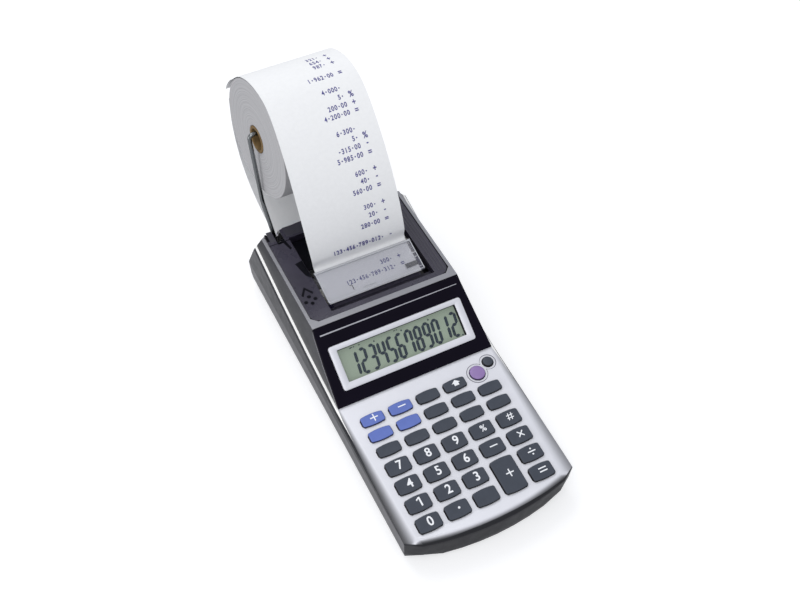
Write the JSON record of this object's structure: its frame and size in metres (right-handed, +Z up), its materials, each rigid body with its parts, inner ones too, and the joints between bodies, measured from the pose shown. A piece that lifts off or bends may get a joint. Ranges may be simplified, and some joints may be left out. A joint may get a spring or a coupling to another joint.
{
  "type": "printing calculator",
  "caption": "Palm-size printing calculator with sloped display, keypad, smoked printer cover, tear-off window and a paper roll carried behind on a wire bail.",
  "frame": {"origin": "middle of the whole object's box in plan, on the surface the feet stand on", "axes": "+X to the user's right, +Y from the keys towards the paper roll, +Z up"},
  "size_m": [0.1008, 0.2718, 0.1443],
  "materials": {
    "dark_shell": "satin metallic paint effect",
    "silver_shell": "satin silver",
    "black_gloss": "polished",
    "clear_plastic": "clear polished",
    "display_panel": "smooth grey green",
    "grey_rubber": "matt",
    "green_board": "satin",
    "smoked_plastic": "polished dark tint",
    "chrome_wire": "bright",
    "paper": "matt uncoated paper",
    "cardboard": "matt wound board",
    "black_plastic": "fine texture",
    "nylon": "smooth",
    "ink_foam": "damp matt foam",
    "motor_steel": "plated",
    "slate_key": "satin",
    "blue_key": "satin",
    "purple_key": "satin"
  },
  "bodies": {
    "case": {"lower_case": "dark_shell", "upper_case": "silver_shell", "display_bezel": "black_gloss", "display_frame": "silver_shell", "display_window": "clear_plastic", "lcd_panel": "display_panel", "key_mat": "grey_rubber", "main_board": "green_board", "cutter_window": "clear_plastic", "printer_frame": "black_plastic", "printer_motor": "motor_steel", "power_jack": "black_plastic", "printed_tape": "paper", "supply_web": "paper"},
    "bail": {"paper_bail": "chrome_wire"},
    "roll": {"paper_roll": "paper", "roll_core": "cardboard"},
    "cover": {"printer_cover": "smoked_plastic"},
    "battery_door": {"battery_cover": "dark_shell"},
    "feed": {"feed_roller": "grey_rubber", "feed_gear": "nylon"},
    "pinion": {"motor_pinion": "nylon"},
    "drum": {"type_drum": "nylon"},
    "inker": {"ink_roller": "ink_foam"},
    "key_tax_plus_body": {"key_tax_plus": "blue_key"},
    "key_tax_minus_body": {"key_tax_minus": "blue_key"},
    "key_print_body": {"key_print": "slate_key"},
    "key_shift_body": {"key_shift": "slate_key"},
    "key_convert_rate_body": {"key_convert_rate": "blue_key"},
    "key_local_body": {"key_local": "blue_key"},
    "key_cost_body": {"key_cost": "slate_key"},
    "key_sell_body": {"key_sell": "slate_key"},
    "key_margin_body": {"key_margin": "slate_key"},
    "key_rounding_body": {"key_rounding": "slate_key"},
    "key_decimal_places_body": {"key_decimal_places": "slate_key"},
    "key_memory_recall_body": {"key_memory_recall": "slate_key"},
    "key_memory_plus_body": {"key_memory_plus": "slate_key"},
    "key_memory_minus_body": {"key_memory_minus": "slate_key"},
    "key_7_body": {"key_7": "slate_key"},
    "key_8_body": {"key_8": "slate_key"},
    "key_9_body": {"key_9": "slate_key"},
    "key_percent_body": {"key_percent": "slate_key"},
    "key_number_sign_body": {"key_number_sign": "slate_key"},
    "key_4_body": {"key_4": "slate_key"},
    "key_5_body": {"key_5": "slate_key"},
    "key_6_body": {"key_6": "slate_key"},
    "key_minus_body": {"key_minus": "slate_key"},
    "key_multiply_body": {"key_multiply": "slate_key"},
    "key_1_body": {"key_1": "slate_key"},
    "key_2_body": {"key_2": "slate_key"},
    "key_3_body": {"key_3": "slate_key"},
    "key_plus_body": {"key_plus": "slate_key"},
    "key_divide_body": {"key_divide": "slate_key"},
    "key_0_body": {"key_0": "slate_key"},
    "key_point_body": {"key_point": "slate_key"},
    "key_conversion_body": {"key_conversion": "slate_key"},
    "key_equals_body": {"key_equals": "slate_key"},
    "key_clear_body": {"key_clear": "purple_key"},
    "key_power_off_body": {"key_power_off": "slate_key"}
  },
  "joints": [
    {"name": "bail_swing", "type": "hinge", "parent": "case", "child": "bail", "pos_m": [0, 0.06965, 0.035], "axis": [1, 0, 0], "range_deg": [0, 20], "deforming": ["printed_tape", "supply_web"]},
    {"name": "roll_spin", "type": "hinge", "parent": "bail", "child": "roll", "pos_m": [-0.0053, 0.09485, 0.1067], "axis": [0.9953, 0.0794, -0.0551], "continuous": true},
    {"name": "cover_slide", "type": "slide", "parent": "case", "child": "cover", "axis": [0, 1, 0], "range_m": [0, 0.003]},
    {"name": "battery_door_slide", "type": "slide", "parent": "case", "child": "battery_door", "axis": [0, 1, 0], "range_m": [0, 0.004]},
    {"name": "feed_spin", "type": "hinge", "parent": "case", "child": "feed", "pos_m": [0, 0.03815, 0.035], "axis": [1, 0, 0], "continuous": true},
    {"name": "pinion_spin", "type": "hinge", "parent": "case", "child": "pinion", "pos_m": [0, 0.05225, 0.035], "axis": [1, 0, 0], "continuous": true},
    {"name": "drum_spin", "type": "hinge", "parent": "case", "child": "drum", "pos_m": [0, 0.02665, 0.035], "axis": [1, 0, 0], "continuous": true},
    {"name": "inker_spin", "type": "hinge", "parent": "case", "child": "inker", "pos_m": [0, 0.01615, 0.035], "axis": [1, 0, 0], "continuous": true},
    {"name": "key_tax_plus_press", "type": "slide", "parent": "case", "child": "key_tax_plus_body", "axis": [0, -0.0797, 0.9968], "range_m": [-0.0012, 0], "stiffness_N_per_m": 500, "springref_m": 0.0004},
    {"name": "key_tax_minus_press", "type": "slide", "parent": "case", "child": "key_tax_minus_body", "axis": [0, -0.0797, 0.9968], "range_m": [-0.0012, 0], "stiffness_N_per_m": 500, "springref_m": 0.0004},
    {"name": "key_print_press", "type": "slide", "parent": "case", "child": "key_print_body", "axis": [0, -0.0797, 0.9968], "range_m": [-0.0012, 0], "stiffness_N_per_m": 500, "springref_m": 0.0004},
    {"name": "key_shift_press", "type": "slide", "parent": "case", "child": "key_shift_body", "axis": [0, -0.0797, 0.9968], "range_m": [-0.0012, 0], "stiffness_N_per_m": 500, "springref_m": 0.0004},
    {"name": "key_convert_rate_press", "type": "slide", "parent": "case", "child": "key_convert_rate_body", "axis": [0, -0.0797, 0.9968], "range_m": [-0.0012, 0], "stiffness_N_per_m": 500, "springref_m": 0.0004},
    {"name": "key_local_press", "type": "slide", "parent": "case", "child": "key_local_body", "axis": [0, -0.0797, 0.9968], "range_m": [-0.0012, 0], "stiffness_N_per_m": 500, "springref_m": 0.0004},
    {"name": "key_cost_press", "type": "slide", "parent": "case", "child": "key_cost_body", "axis": [0, -0.0797, 0.9968], "range_m": [-0.0012, 0], "stiffness_N_per_m": 500, "springref_m": 0.0004},
    {"name": "key_sell_press", "type": "slide", "parent": "case", "child": "key_sell_body", "axis": [0, -0.0797, 0.9968], "range_m": [-0.0012, 0], "stiffness_N_per_m": 500, "springref_m": 0.0004},
    {"name": "key_margin_press", "type": "slide", "parent": "case", "child": "key_margin_body", "axis": [0, -0.0797, 0.9968], "range_m": [-0.0012, 0], "stiffness_N_per_m": 500, "springref_m": 0.0004},
    {"name": "key_rounding_press", "type": "slide", "parent": "case", "child": "key_rounding_body", "axis": [0, -0.0797, 0.9968], "range_m": [-0.0012, 0], "stiffness_N_per_m": 500, "springref_m": 0.0004},
    {"name": "key_decimal_places_press", "type": "slide", "parent": "case", "child": "key_decimal_places_body", "axis": [0, -0.0797, 0.9968], "range_m": [-0.0012, 0], "stiffness_N_per_m": 500, "springref_m": 0.0004},
    {"name": "key_memory_recall_press", "type": "slide", "parent": "case", "child": "key_memory_recall_body", "axis": [0, -0.0797, 0.9968], "range_m": [-0.0012, 0], "stiffness_N_per_m": 500, "springref_m": 0.0004},
    {"name": "key_memory_plus_press", "type": "slide", "parent": "case", "child": "key_memory_plus_body", "axis": [0, -0.0797, 0.9968], "range_m": [-0.0012, 0], "stiffness_N_per_m": 500, "springref_m": 0.0004},
    {"name": "key_memory_minus_press", "type": "slide", "parent": "case", "child": "key_memory_minus_body", "axis": [0, -0.0797, 0.9968], "range_m": [-0.0012, 0], "stiffness_N_per_m": 500, "springref_m": 0.0004},
    {"name": "key_7_press", "type": "slide", "parent": "case", "child": "key_7_body", "axis": [0, -0.0797, 0.9968], "range_m": [-0.0012, 0], "stiffness_N_per_m": 500, "springref_m": 0.0004},
    {"name": "key_8_press", "type": "slide", "parent": "case", "child": "key_8_body", "axis": [0, -0.0797, 0.9968], "range_m": [-0.0012, 0], "stiffness_N_per_m": 500, "springref_m": 0.0004},
    {"name": "key_9_press", "type": "slide", "parent": "case", "child": "key_9_body", "axis": [0, -0.0797, 0.9968], "range_m": [-0.0012, 0], "stiffness_N_per_m": 500, "springref_m": 0.0004},
    {"name": "key_percent_press", "type": "slide", "parent": "case", "child": "key_percent_body", "axis": [0, -0.0797, 0.9968], "range_m": [-0.0012, 0], "stiffness_N_per_m": 500, "springref_m": 0.0004},
    {"name": "key_number_sign_press", "type": "slide", "parent": "case", "child": "key_number_sign_body", "axis": [0, -0.0797, 0.9968], "range_m": [-0.0012, 0], "stiffness_N_per_m": 500, "springref_m": 0.0004},
    {"name": "key_4_press", "type": "slide", "parent": "case", "child": "key_4_body", "axis": [0, -0.0797, 0.9968], "range_m": [-0.0012, 0], "stiffness_N_per_m": 500, "springref_m": 0.0004},
    {"name": "key_5_press", "type": "slide", "parent": "case", "child": "key_5_body", "axis": [0, -0.0797, 0.9968], "range_m": [-0.0012, 0], "stiffness_N_per_m": 500, "springref_m": 0.0004},
    {"name": "key_6_press", "type": "slide", "parent": "case", "child": "key_6_body", "axis": [0, -0.0797, 0.9968], "range_m": [-0.0012, 0], "stiffness_N_per_m": 500, "springref_m": 0.0004},
    {"name": "key_minus_press", "type": "slide", "parent": "case", "child": "key_minus_body", "axis": [0, -0.0797, 0.9968], "range_m": [-0.0012, 0], "stiffness_N_per_m": 500, "springref_m": 0.0004},
    {"name": "key_multiply_press", "type": "slide", "parent": "case", "child": "key_multiply_body", "axis": [0, -0.0797, 0.9968], "range_m": [-0.0012, 0], "stiffness_N_per_m": 500, "springref_m": 0.0004},
    {"name": "key_1_press", "type": "slide", "parent": "case", "child": "key_1_body", "axis": [0, -0.0797, 0.9968], "range_m": [-0.0012, 0], "stiffness_N_per_m": 500, "springref_m": 0.0004},
    {"name": "key_2_press", "type": "slide", "parent": "case", "child": "key_2_body", "axis": [0, -0.0797, 0.9968], "range_m": [-0.0012, 0], "stiffness_N_per_m": 500, "springref_m": 0.0004},
    {"name": "key_3_press", "type": "slide", "parent": "case", "child": "key_3_body", "axis": [0, -0.0797, 0.9968], "range_m": [-0.0012, 0], "stiffness_N_per_m": 500, "springref_m": 0.0004},
    {"name": "key_plus_press", "type": "slide", "parent": "case", "child": "key_plus_body", "axis": [0, -0.0797, 0.9968], "range_m": [-0.0012, 0], "stiffness_N_per_m": 500, "springref_m": 0.0004},
    {"name": "key_divide_press", "type": "slide", "parent": "case", "child": "key_divide_body", "axis": [0, -0.0797, 0.9968], "range_m": [-0.0012, 0], "stiffness_N_per_m": 500, "springref_m": 0.0004},
    {"name": "key_0_press", "type": "slide", "parent": "case", "child": "key_0_body", "axis": [0, -0.0797, 0.9968], "range_m": [-0.0012, 0], "stiffness_N_per_m": 500, "springref_m": 0.0004},
    {"name": "key_point_press", "type": "slide", "parent": "case", "child": "key_point_body", "axis": [0, -0.0797, 0.9968], "range_m": [-0.0012, 0], "stiffness_N_per_m": 500, "springref_m": 0.0004},
    {"name": "key_conversion_press", "type": "slide", "parent": "case", "child": "key_conversion_body", "axis": [0, -0.0797, 0.9968], "range_m": [-0.0012, 0], "stiffness_N_per_m": 500, "springref_m": 0.0004},
    {"name": "key_equals_press", "type": "slide", "parent": "case", "child": "key_equals_body", "axis": [0, -0.0797, 0.9968], "range_m": [-0.0012, 0], "stiffness_N_per_m": 500, "springref_m": 0.0004},
    {"name": "key_clear_press", "type": "slide", "parent": "case", "child": "key_clear_body", "axis": [0, -0.0797, 0.9968], "range_m": [-0.0012, 0], "stiffness_N_per_m": 500, "springref_m": 0.0004},
    {"name": "key_power_off_press", "type": "slide", "parent": "case", "child": "key_power_off_body", "axis": [0, -0.0797, 0.9968], "range_m": [-0.0012, 0], "stiffness_N_per_m": 500, "springref_m": 0.0004}
  ],
  "couplings": [
    {"joint": "pinion_spin", "follows": "feed_spin", "ratio": -2.4},
    {"joint": "drum_spin", "follows": "feed_spin", "ratio": -0.76667},
    {"joint": "inker_spin", "follows": "feed_spin", "ratio": 1.0952}
  ]
}
